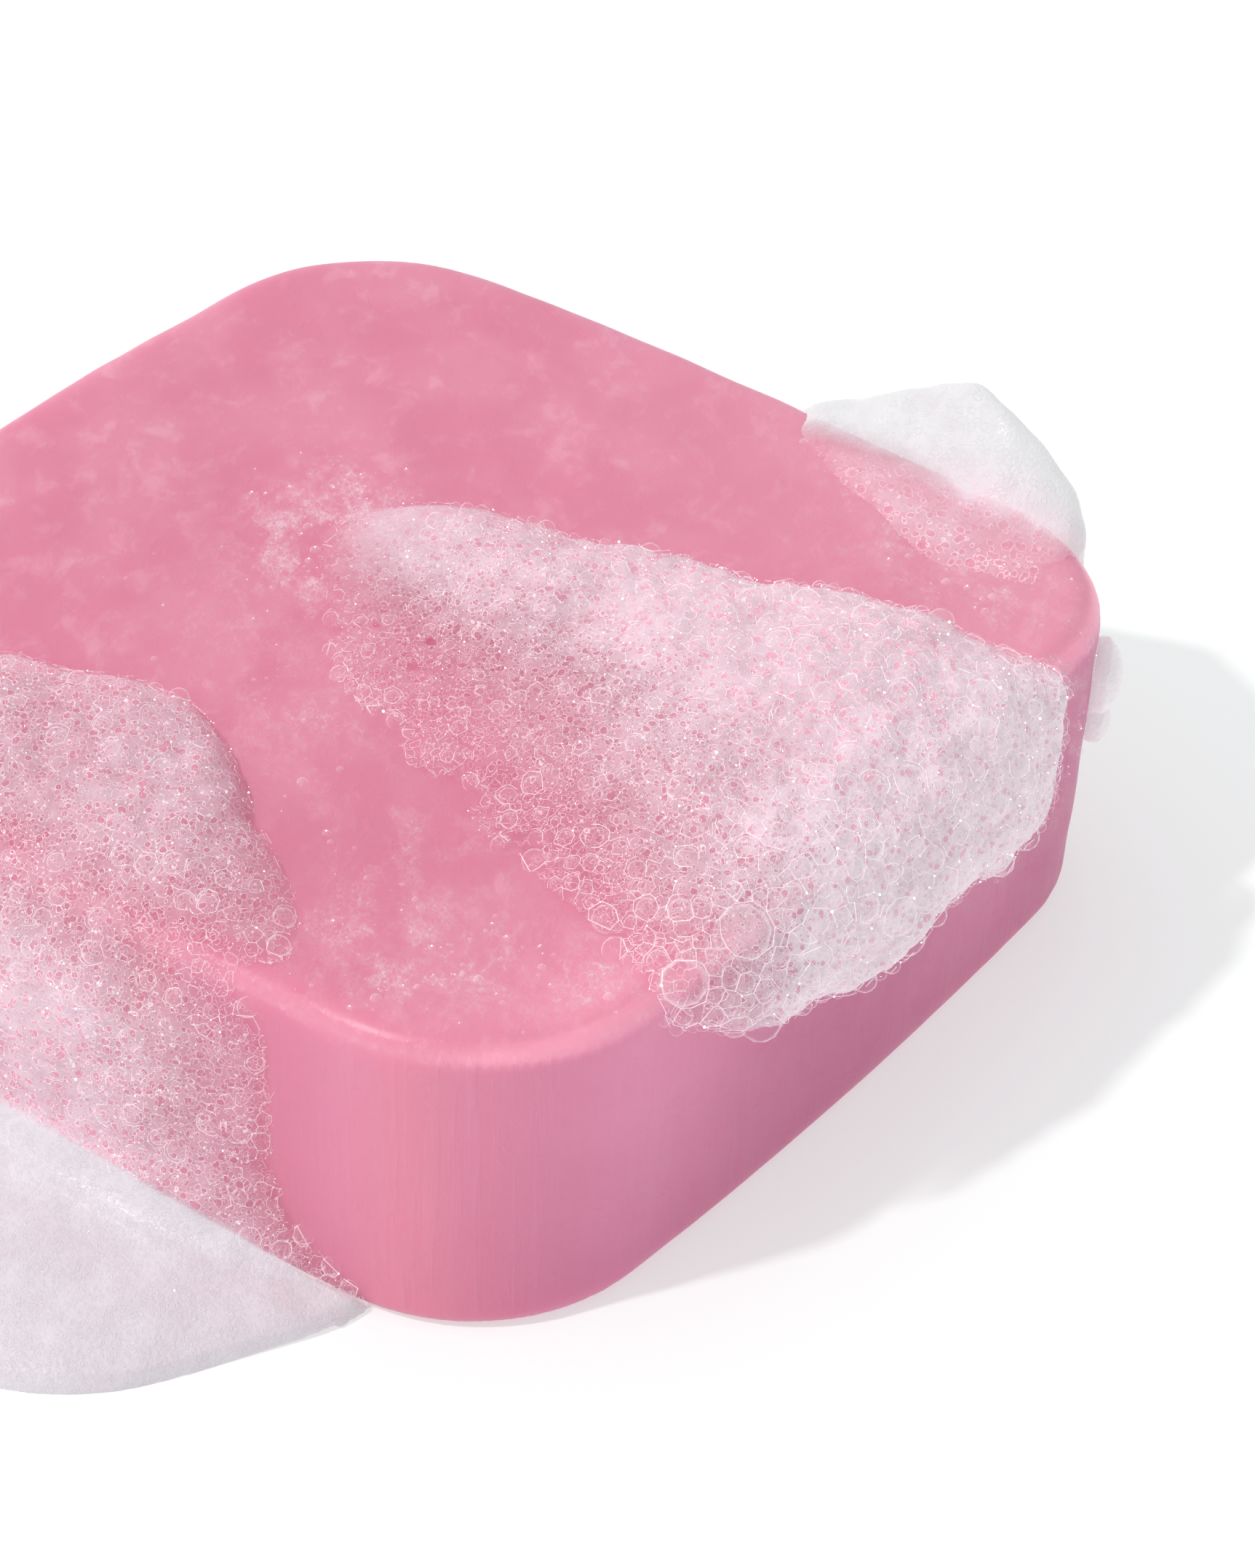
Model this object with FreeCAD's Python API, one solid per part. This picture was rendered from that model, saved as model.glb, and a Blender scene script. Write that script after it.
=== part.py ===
"""A used shampoo bar: a square cake with round corners, and the lather that clings to it.

The origin is the middle of the face that the cake rests on, +Z is up and the unit is the
millimetre. The sides of the cake face -X, +X, -Y and +Y.
"""

import FreeCAD, Part
import math
import os

# The cake
BAR_WIDTH = 60.0          # from side to side at the top, before the sides crown outwards
SIDE_CROWN = 0.555        # how far the middle of a side stands proud of that width
BAR_HEIGHT = 19.0
CORNER_RADIUS = 11.6      # of the four upright corners, at the top
BASE_INSET = 0.6          # how much further in the sides are at the base: the mould's draft
RIM_RADIUS = 1.6          # the worn edge round the top
FOOT_RADIUS = 1.2         # the edge round the base

# The lather. A heap is given by its cross-sections, one a row, at places along a side of the
# cake. Depths and heights are over the cake's top. The first and the last row of a heap have
# negative ones: there its skin has gone into the cake.
#
# A heap that hangs over a side: the place along the side, how far from the middle of the cake
# the lather starts, its depth near there and half way, where its crest is and how high, how
# far it bulges past the side, and how far under the top its lower lip is
MOUND = [
    (-19.0, 26.0, -1.2, -1.2, 27.0, -1.2, -1.2, 2.4),
    (-17.0, 25.0, 0.5, 0.8, 27.5, 1.0, 1.2, 3.2),
    (-14.0, 14.5, 0.6, 1.4, 25.5, 2.2, 2.2, 5.2),
    (-10.5, 4.0, 0.8, 2.0, 25.0, 3.0, 2.8, 6.8),
    (-6.0, -3.5, 1.0, 2.4, 24.5, 3.8, 3.2, 7.8),
    (-1.0, -8.0, 1.6, 2.8, 24.5, 4.4, 3.5, 8.4),
    (3.5, -10.3, 2.5, 3.2, 25.0, 4.8, 3.4, 7.2),
    (7.0, -8.0, 2.3, 3.3, 24.5, 4.8, 3.2, 8.0),
    (10.0, 4.0, 2.2, 3.4, 24.5, 4.4, 3.0, 9.4),
    (13.0, 13.5, 1.6, 2.6, 25.5, 3.0, 2.4, 9.8),
    (15.5, 22.0, 0.6, 1.0, 27.0, 1.4, 1.4, 8.6),
    (17.5, 25.0, -1.2, -1.2, 27.0, -1.2, -1.2, 5.0),
]
BACK = [
    (-27.0, 20.0, -1.5, -1.5, 22.0, -1.5, -1.5, 3.0),
    (-24.3, 22.0, 0.3, 0.3, 28.0, 0.5, 0.4, 3.6),
    (-21.5, 21.0, 0.5, 0.7, 30.8, 2.1, 3.2, 5.6),
    (-18.0, 20.5, 0.6, 0.9, 31.6, 3.7, 4.4, 7.2),
    (-15.0, 22.0, 0.6, 0.9, 32.2, 4.4, 4.8, 8.0),
    (-12.0, 23.5, 0.6, 0.9, 32.0, 3.5, 4.4, 7.5),
    (-9.0, 25.0, 0.5, 0.7, 31.4, 2.0, 3.2, 6.0),
    (-6.0, 27.0, 0.3, 0.4, 30.0, 0.6, 1.2, 4.0),
    (-3.5, 27.0, -1.5, -1.5, 28.5, -1.5, -1.5, 3.0),
]
# A heap that runs down a side and out over the floor: the place along the side, how far from
# the middle of the cake the lather starts, its depth on the top, its thickness on the side,
# how far it reaches over the floor past the side, and its depth on the floor
SPILL = [
    (-22.0, 20.0, -1.5, -1.5, -1.5, 0.5),
    (-18.5, 19.5, 1.3, 1.0, 5.0, 1.2),
    (-14.0, 18.0, 2.1, 1.8, 9.5, 1.8),
    (-8.5, 15.6, 2.8, 2.2, 13.2, 2.4),
    (-3.0, 14.8, 2.8, 2.4, 15.2, 2.6),
    (2.5, 17.6, 2.6, 2.4, 15.8, 2.6),
    (7.0, 21.0, 2.3, 2.1, 15.6, 2.4),
    (11.0, 23.6, 1.5, 1.4, 14.2, 2.0),
    (14.0, 26.0, 0.3, 0.5, 11.9, 1.6),
    (16.5, 26.0, -1.0, -1.4, 8.2, 1.1),
    (18.5, 26.0, -1.5, -2.0, 4.2, 0.9),
    (20.5, 25.0, -2.0, -2.5, -2.5, 0.3),
]

# Two blobs on the corner between the +X and +Y sides: x, y, z, radius, half height
CORNER_BLOBS = [
    (27.6, 24.4, 13.6, 1.8, 2.3),
    (27.7, 24.3, 10.7, 1.3, 1.4),
]

# The thin film of bubbles on the top near the front corner
FILM_DEPTH = 0.3
FILM_OUTLINE = [
    (15.6, -26.2), (18.5, -27.0), (21.5, -26.2), (24.4, -23.6), (25.0, -20.2),
    (22.6, -19.2), (19.0, -21.0), (16.6, -20.0), (15.2, -22.5),
]

RIGHT_SIDE, BACK_SIDE, FRONT_SIDE = 0, 1, -1     # quarter turns from the +X side


def vector(x, y, z):
    """A point or a direction."""
    return FreeCAD.Vector(x, y, z)


# ---------------------------------------------------------------- the cake


class Outline:
    """The cake's outline at one height: four shallow side arcs and four tangent corner arcs."""

    def __init__(self, inset):
        half_chord = BAR_WIDTH / 2 - CORNER_RADIUS
        self.side_radius = (half_chord ** 2 + SIDE_CROWN ** 2) / (2 * SIDE_CROWN) - inset
        self.corner_radius = CORNER_RADIUS - inset
        self.half_width = BAR_WIDTH / 2 + SIDE_CROWN - inset
        self.side_centre = self.half_width - self.side_radius
        gap = self.side_radius - self.corner_radius
        self.corner_centre = (self.side_centre + math.sqrt(2 * gap ** 2 - self.side_centre ** 2)) / 2

    def tangent(self):
        """Where the arc of the +X side meets that of the corner between +X and +Y."""
        centre = vector(self.side_centre, 0, 0)
        towards_corner = vector(self.corner_centre, self.corner_centre, 0) - centre
        return centre + towards_corner.normalize() * self.side_radius

    def reach(self, along):
        """How far the side stands out from the middle of the cake, at a place along it."""
        if abs(along) <= self.tangent().y:
            return self.side_centre + math.sqrt(self.side_radius ** 2 - along ** 2)
        past = abs(along) - self.corner_centre
        return self.corner_centre + math.sqrt(self.corner_radius ** 2 - past ** 2)

    def wire(self, z):
        """The outline as a closed wire at height z."""
        tangent = self.tangent()
        diagonal = self.corner_centre + self.corner_radius / math.sqrt(2)
        before = vector(tangent.x, -tangent.y, z)
        crown = vector(self.half_width, 0, z)
        after = vector(tangent.x, tangent.y, z)
        corner = vector(diagonal, diagonal, z)
        edges = []
        for turn in range(4):
            side = Part.Arc(turned(before, turn), turned(crown, turn), turned(after, turn))
            bend = Part.Arc(turned(after, turn), turned(corner, turn), turned(before, turn + 1))
            edges += [side.toShape(), bend.toShape()]
        return Part.Wire(edges)


def turned(point, quarter_turns):
    """A point turned about the Z axis by whole quarter turns."""
    return FreeCAD.Rotation(vector(0, 0, 1), 90 * quarter_turns).multVec(point)


def flat_edges(solid, z):
    """The edges of a solid that lie flat at one height."""
    return [edge for edge in solid.Edges if all(abs(end.Z - z) < 1e-6 for end in edge.Vertexes)]


def shampoo_bar():
    """The cake: a drafted block between two outlines, with its top and base edges rounded."""
    block = Part.makeLoft([Outline(BASE_INSET).wire(0), Outline(0).wire(BAR_HEIGHT)], True, True)
    block = block.makeFillet(RIM_RADIUS, flat_edges(block, BAR_HEIGHT))
    return block.makeFillet(FOOT_RADIUS, flat_edges(block, 0))


# ---------------------------------------------------------------- the lather


def section_wire(along, points, side):
    """A smooth closed section across a side of the cake, through points (out, over the top)."""
    curve = Part.BSplineCurve()
    places = [turned(vector(out, along, BAR_HEIGHT + up), side) for out, up in points]
    curve.interpolate(places, PeriodicFlag=True)
    return Part.Wire(curve.toShape())


def drape_section(row, side):
    """A section of a heap that lies on the top, swells at its crest and hangs over the side."""
    along, start, shallow, middle, crest, height, bulge, lip = row
    wall = Outline(0).reach(along)
    run = crest - start
    points = [
        (start - 0.5, -1.5),
        (start + 0.1 * run, 0.6 * shallow),
        (start + 0.25 * run, shallow),
        (start + 0.6 * run, middle),
        (crest, height),
        (wall + 0.6 * bulge, 0.4 * height),
        (wall + bulge, -0.45 * lip),
        (wall + 0.7 * bulge, -0.85 * lip),
        (wall - 0.8, -lip),
        (wall - 4.0, 1.0 - lip),
        (start + 0.6 * run, -4.5),
    ]
    return section_wire(along, points, side)


def spill_section(row, side):
    """A section of lather that runs from the top over the side and out over the floor."""
    along, start, depth, thickness, apron, apron_depth = row
    wall = Outline(0).reach(along)
    run = wall - start
    floor = -BAR_HEIGHT
    points = [
        (wall - 6.0, 0.5 * floor),
        (start + 0.3 * run, -5.0),
        (start - 0.5, -1.5),
        (start + 0.1 * run, 0.6 * depth),
        (start + 0.4 * run, depth),
        (wall - 2.0, 0.8 * depth),
        (wall + thickness, -3.0),
        (wall + thickness, 0.6 * floor),
        (wall + max(thickness, 0.25 * apron - 0.8), floor + apron_depth + 0.8),
        (wall + 0.65 * apron, floor + 0.8 * apron_depth),
        (wall + apron, floor - 0.4),
        (wall + 0.6 * apron - 0.6, floor - 2.0),
        (wall - 4.0, floor - 2.0),
    ]
    return section_wire(along, points, side)


def heap(sections, cutters):
    """A smooth body through its sections, less the cake and whatever else cuts it."""
    return Part.makeLoft(sections, True, False).cut(cutters)


def floor_block():
    """The space below the floor, as far out as the lather could reach."""
    width = 3 * BAR_WIDTH
    return Part.makeBox(width, width, BAR_HEIGHT, vector(-width / 2, -width / 2, -BAR_HEIGHT))


def blob(x, y, z, radius, half_height):
    """A ball drawn out upwards: half an ellipse turned about an upright axis."""
    ellipse = Part.Ellipse(vector(0, 0, half_height), vector(radius, 0, 0), vector(0, 0, 0))
    half = Part.ArcOfEllipse(ellipse, 0, math.pi).toShape()
    axis = Part.makeLine(vector(0, 0, -half_height), vector(0, 0, half_height))
    ball = Part.Face(Part.Wire([half, axis])).revolve(vector(0, 0, 0), vector(0, 0, 1), 360)
    return ball.translated(vector(x, y, z))


def blobs(rows, bar):
    """Blobs run together, less the cake."""
    first, *others = [blob(*row) for row in rows]
    return first.fuse(others).cut(bar)


def film():
    """A thin film of lather on the top, inside a smooth closed outline."""
    curve = Part.BSplineCurve()
    curve.interpolate([vector(x, y, BAR_HEIGHT) for x, y in FILM_OUTLINE], PeriodicFlag=True)
    return Part.Face(Part.Wire(curve.toShape())).extrude(vector(0, 0, FILM_DEPTH))


def main():
    """Builds the cake and the lather and writes one STEP file for each."""
    bar = shampoo_bar()
    nodes = {
        "shampoo_bar": bar,
        "lather_mound": heap([drape_section(row, RIGHT_SIDE) for row in MOUND], [bar]),
        "lather_back": heap([drape_section(row, BACK_SIDE) for row in BACK], [bar]),
        "lather_spill": heap([spill_section(row, FRONT_SIDE) for row in SPILL], [bar, floor_block()]),
        "lather_corner": blobs(CORNER_BLOBS, bar),
        "lather_film": film(),
    }
    os.makedirs("parts", exist_ok=True)
    for name, solid in nodes.items():
        solid.exportStep(f"parts/{name}.step")
        print(name, solid.isValid(), len(solid.Solids), round(solid.Volume), len(solid.Faces))


main()
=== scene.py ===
"""A used shampoo bar with its lather: a pink cake of solid shampoo under heaps of fine bubbles.

The cake is remeshed from its solid, softened and dressed as wet, waxy, pressed shampoo. Each heap
of lather is grown on the skin of its own solid: a milky body with clear windows, two nested nets of
liquid threads where bubbles meet, the larger bubbles' round films, and beads of liquid at the
junctions, which glow as painted sparkles. A blotchy veil and loose small bubbles lie on the cake
round the heaps.
"""

import logging
import math
from dataclasses import dataclass, field, replace
from enum import Enum
from typing import Any, Callable, Optional, Union

import bmesh
import bpy
import numpy as np
from mathutils import Matrix, Vector, noise
from mathutils.bvhtree import BVHTree
from mathutils.kdtree import KDTree


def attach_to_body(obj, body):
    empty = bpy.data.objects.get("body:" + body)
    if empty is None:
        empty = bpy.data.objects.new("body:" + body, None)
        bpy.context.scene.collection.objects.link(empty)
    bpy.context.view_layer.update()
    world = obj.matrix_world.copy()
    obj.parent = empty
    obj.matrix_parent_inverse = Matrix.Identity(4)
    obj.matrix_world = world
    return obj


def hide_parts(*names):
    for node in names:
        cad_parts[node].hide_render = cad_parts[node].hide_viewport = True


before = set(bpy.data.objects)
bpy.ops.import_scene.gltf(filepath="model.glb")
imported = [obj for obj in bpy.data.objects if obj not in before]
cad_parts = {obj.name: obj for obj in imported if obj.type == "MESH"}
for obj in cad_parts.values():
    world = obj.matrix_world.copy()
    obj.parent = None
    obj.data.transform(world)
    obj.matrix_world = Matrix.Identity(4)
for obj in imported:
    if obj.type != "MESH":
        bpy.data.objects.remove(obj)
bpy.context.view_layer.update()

LOG = logging.getLogger("shampoo_bar")
MM = 0.001
WELD = 1e-7
BLACK = (0.0, 0.0, 0.0)

# The way from the cake to the camera, and how much of a pattern's depth along it is kept. A
# pattern that is laid out in this squeezed space looks round from the camera.
FRONT = np.array((0.468, -0.652, 0.597))
DEPTH_SHARE = 0.42

# Lather further than this from the middle, to the front or the back, hangs beside the cake
PAST_SIDE = 31.0 * MM

Array = np.ndarray
Colour = tuple[float, float, float]
Piece = bpy.types.Object
Material = bpy.types.Material


class Slot(Enum):
    """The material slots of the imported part."""

    CAKE = "cake"
    LATHER = "lather"


# ---- shader maths


class Px:
    """A shader value: wraps an output socket so that arithmetic on it adds Math nodes."""

    def __init__(self, graph: "Graph", socket: bpy.types.NodeSocket) -> None:
        """Keeps the graph and the socket."""
        self.graph = graph
        self.socket = socket

    def _math(self, operation: str, *operands: "Number", clamp: bool = False) -> "Px":
        """Adds one Math node.

        Args:
            operation: the Math node's operation.
            operands: its inputs in order, values or links.
            clamp: whether the result is kept between 0 and 1.

        Returns:
            The node's result.
        """
        settings = {"operation": operation, "use_clamp": clamp}
        return self.graph.node("ShaderNodeMath", settings, dict(enumerate(operands)))

    def __add__(self, other: "Number") -> "Px":
        """self + other."""
        return self._math("ADD", self, other)

    __radd__ = __add__

    def __sub__(self, other: "Number") -> "Px":
        """self - other."""
        return self._math("SUBTRACT", self, other)

    def __rsub__(self, other: "Number") -> "Px":
        """other - self."""
        return self._math("SUBTRACT", other, self)

    def __mul__(self, other: "Number") -> "Px":
        """self * other."""
        return self._math("MULTIPLY", self, other)

    __rmul__ = __mul__

    def __pow__(self, other: "Number") -> "Px":
        """self to the power of other."""
        return self._math("POWER", self, other)

    def clamped(self) -> "Px":
        """The value kept between 0 and 1."""
        return self._math("ADD", self, 0.0, clamp=True)

    def ramp(self, low: float, high: float) -> "Px":
        """A smooth step from 0 at low to 1 at high.

        Args:
            low: where the step starts.
            high: where it ends; below low, the step falls.

        Returns:
            The step.
        """
        settings = {"interpolation_type": "SMOOTHSTEP"}
        inputs = {"Value": self, "From Min": low, "From Max": high, "To Min": 0.0, "To Max": 1.0}
        return self.graph.node("ShaderNodeMapRange", settings, inputs)


Number = Union[float, Px]


class Graph:
    """The node tree of a material or of the room, filled through one method that adds nodes."""

    def __init__(self, owner: Union[Material, bpy.types.World]) -> None:
        """Takes the owner's tree and clears it.

        Args:
            owner: the material or world that the tree belongs to.
        """
        owner.use_nodes = True
        self.owner = owner
        self.tree = owner.node_tree
        self.tree.nodes.clear()

    def node(self, kind: str, settings: dict[str, Any], inputs: dict[Any, Any],
             output: Union[int, str] = 0) -> Optional[Px]:
        """Adds a node.

        Args:
            kind: the node's type.
            settings: its properties, set first.
            inputs: values or links for its sockets, by name or number.
            output: which of its outputs to return.

        Returns:
            The chosen output, or None for a node that ends the tree.
        """
        made = self.tree.nodes.new(kind)
        for key, value in settings.items():
            setattr(made, key, value)
        for key, value in inputs.items():
            self.feed(made.inputs[key], value)
        return Px(self, made.outputs[output]) if made.outputs else None

    def feed(self, socket: bpy.types.NodeSocket, value: Any) -> None:
        """Links or sets one socket.

        Args:
            socket: the socket.
            value: what it gets: a shader value, a number, a vector or a colour.
        """
        if isinstance(value, Px):
            self.tree.links.new(value.socket, socket)
        elif socket.type == "RGBA":
            socket.default_value = (*value, 1.0)
        else:
            socket.default_value = value

    def attribute(self, name: str) -> Px:
        """A number kept on the mesh."""
        return self.node("ShaderNodeAttribute", {"attribute_name": name}, {}, "Fac")

    def place(self) -> Px:
        """The point's place in the object's frame, in metres."""
        return self.node("ShaderNodeTexCoord", {}, {}, "Object")

    def vector_math(self, operation: str, inputs: dict[Any, Any], output: Union[int, str] = 0) -> Px:
        """Adds one Vector Math node."""
        return self.node("ShaderNodeVectorMath", {"operation": operation}, inputs, output)

    def drawn_out(self, vector: Px) -> Px:
        """A vector in the space that is squeezed along the way to the camera.

        Args:
            vector: the vector.

        Returns:
            The vector there.
        """
        depth = self.vector_math("DOT_PRODUCT", {0: vector, 1: tuple(FRONT)}, "Value")
        shift = self.vector_math("SCALE", {0: tuple(FRONT), "Scale": depth * (1.0 - DEPTH_SHARE)})
        return self.vector_math("SUBTRACT", {0: vector, 1: shift})

    def clouds(self, size: float, detail: float = 2.0, rough: float = 0.5,
               vector: Optional[Px] = None, warp: float = 0.0) -> Px:
        """Soft noise.

        Args:
            size: the size of its features, in metres.
            detail: how many finer octaves it has.
            rough: how strong those are.
            vector: where it is read, the object's frame if None.
            warp: how distorted it is.

        Returns:
            The noise, about 0.5 on average.
        """
        inputs = {"Vector": vector or self.place(), "Scale": 1.0 / size, "Detail": detail,
                  "Roughness": rough, "Distortion": warp}
        return self.node("ShaderNodeTexNoise", {}, inputs, "Fac")

    def cells(self, size: float, feature: str = "F1", vector: Optional[Px] = None) -> Px:
        """Distances in a field of cells of one size, over that size: to the middles or the edges."""
        inputs = {"Vector": vector or self.place(), "Scale": 1.0 / size}
        return self.node("ShaderNodeTexVoronoi", {"feature": feature}, inputs, "Distance")

    def blend(self, factor: Number, first: Any, second: Any) -> Px:
        """A colour between two colours."""
        mixer = {"data_type": "RGBA", "clamp_factor": True}
        return self.node("ShaderNodeMix", mixer, {0: factor, 6: first, 7: second}, 2)

    def coats(self, base: Any, *coats: tuple[Number, Any]) -> Px:
        """A colour with further colours laid over it in turn, each by a factor of its own.

        Args:
            base: the colour underneath.
            coats: pairs of a factor and a colour, in order.

        Returns:
            The colour on top.
        """
        for factor, colour in coats:
            base = self.blend(factor, base, colour)
        return base

    def bump(self, height: Px, distance: float, strength: float) -> Px:
        """A Bump node's normal."""
        inputs = {"Height": height, "Distance": distance, "Strength": strength}
        return self.node("ShaderNodeBump", {}, inputs, "Normal")

    def finish(self, **sockets: Any) -> Material:
        """Adds the Principled shader and ends the material's tree with it.

        Args:
            sockets: the shader's values or links, by name with _ for a space.

        Returns:
            The material.
        """
        inputs = {key.replace("_", " "): value for key, value in sockets.items()}
        shader = self.node("ShaderNodeBsdfPrincipled", {}, inputs, "BSDF")
        self.node("ShaderNodeOutputMaterial", {}, {"Surface": shader})
        return self.owner


# ---- finishes


@dataclass(frozen=True)
class CakeFinish:
    """Wet pressed shampoo: waxy pink, flecked paler on top, streaked down its sides, paler at the rim
    from wear and painted light.

    Attributes:
        pink, pale, deep: the top's tones.
        coral, mauve: the walls' tones; plum: painted shade laid on the right wall, which faces away from
            the key.
        wear_and_glow: the rim's paler tone, partly wear and partly painted light, and the colour of the
            painted glow; chalky: a painted highlight along the thin edge beside the rim.
        dusk: painted shade where little light comes back, beside the lather.
        rough: how rough it is between flecks.
        gleam: how strongly its painted gleams glow, light painted onto the rim and onto the walls near
            the right-hand corner.
        scatter, scatter_reach: how much light goes under its skin, and how far for each colour.
        drawn_down: how much of the walls' pattern's height is kept, so that it runs in streaks.
        relief: how deep its flecks and streaks seem.
    """

    pink: Colour = (0.775, 0.273, 0.397)
    pale: Colour = (0.83, 0.40, 0.51)
    deep: Colour = (0.735, 0.222, 0.340)
    wear_and_glow: Colour = (0.86, 0.415, 0.515)
    coral: Colour = (0.80, 0.25, 0.33)
    mauve: Colour = (0.74, 0.27, 0.43)
    painted_shade_plum: Colour = (0.70, 0.198, 0.368)
    dusk: Colour = (0.69, 0.195, 0.31)
    painted_rim_highlight: Colour = (0.90, 0.56, 0.65)
    rough: float = 0.35
    gleam: float = 0.30
    scatter: float = 0.45
    scatter_reach: tuple[float, float, float] = (3.0 * MM, 1.2 * MM, 1.6 * MM)
    fleck_size: float = 1.9 * MM
    speck_size: float = 0.7 * MM
    drift_size: float = 6.0 * MM
    streak_size: float = 0.7 * MM
    band_size: float = 5.0 * MM
    broad_size: float = 9.0 * MM
    sheen_size: float = 2.2 * MM
    drawn_down: float = 0.06
    relief: float = 0.16 * MM

    def material(self, name: str) -> Material:
        """Builds the finish; the cake's attributes say where its top, its rim and the rest are.

        Args:
            name: the material's name.

        Returns:
            The material.
        """
        g = Graph(bpy.data.materials.new(name))
        place = g.place()
        top = g.attribute("top")
        rim = g.attribute("rim")
        flat = g.drawn_out(place)
        fleck = g.clouds(self.fleck_size, 4.0, 0.6, flat, 0.3).ramp(0.50, 0.70)
        speck = g.clouds(self.speck_size, 3.0, 0.6, flat, 0.3).ramp(0.52, 0.76)
        drift = g.clouds(self.drift_size, 3.0, 0.55, flat, 0.3).ramp(0.36, 0.66)
        tall = g.vector_math("MULTIPLY", {0: place, 1: (1.0, 1.0, self.drawn_down)})
        streak = g.clouds(self.streak_size, 3.0, 0.65, tall).ramp(0.42, 0.75)
        band = g.clouds(self.band_size, 2.0, 0.5, tall).ramp(0.35, 0.65)
        broad = g.clouds(self.broad_size, 1.0, 0.5, tall).ramp(0.4, 0.6)
        flecked = (fleck * (0.27 + drift * 0.30) + speck * drift * 0.22).clamped()
        # Painted light: the top turns paler in patches at its back and near the front corner.
        skin = g.coats(self.deep, (drift * 0.8, self.pink), (flecked, self.pale),
                       (g.attribute("bloom"), self.pale))
        wall = g.coats(self.coral, (band, self.mauve), (0.55 + broad * 0.35, self.pink),
                       # painted shade: the walls darken towards the foot
                       (streak * 0.13, self.pale), (g.attribute("foot") * 0.5, self.deep),
                       # painted shade: the right wall, facing away from the key, turns plum
                       (g.attribute("right") * 0.85, self.painted_shade_plum))
        # Painted shade darkens the cake beside the lather.
        base = g.coats(g.blend(top, wall, skin), (g.attribute("dusk"), self.dusk),
                       # the rim turns paler: wear, and painted light
                       ((rim ** 4.0 * 0.28).clamped(), self.wear_and_glow),
                       # a thin painted highlight runs along the rim
                       (g.attribute("edge") * (0.05 + speck * 0.35), self.painted_rim_highlight))
        sheen = g.clouds(self.sheen_size, 3.0)
        rough = fleck * 0.10 + sheen * 0.14 - rim * 0.10 + self.rough
        height = fleck * 0.35 + speck * 0.25 + streak * (1.0 - top) * 0.45
        # Painted light: the cake glows in the worn tone where its gleam mask is set.
        return g.finish(
            Base_Color=base, Roughness=rough, Normal=g.bump(height, self.relief, 0.4),
            Subsurface_Weight=self.scatter, Subsurface_Radius=self.scatter_reach,
            Subsurface_Scale=1.0, Specular_IOR_Level=0.3, Emission_Strength=self.gleam,
            Emission_Color=g.blend(g.attribute("gleam"), BLACK, self.wear_and_glow))


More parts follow.
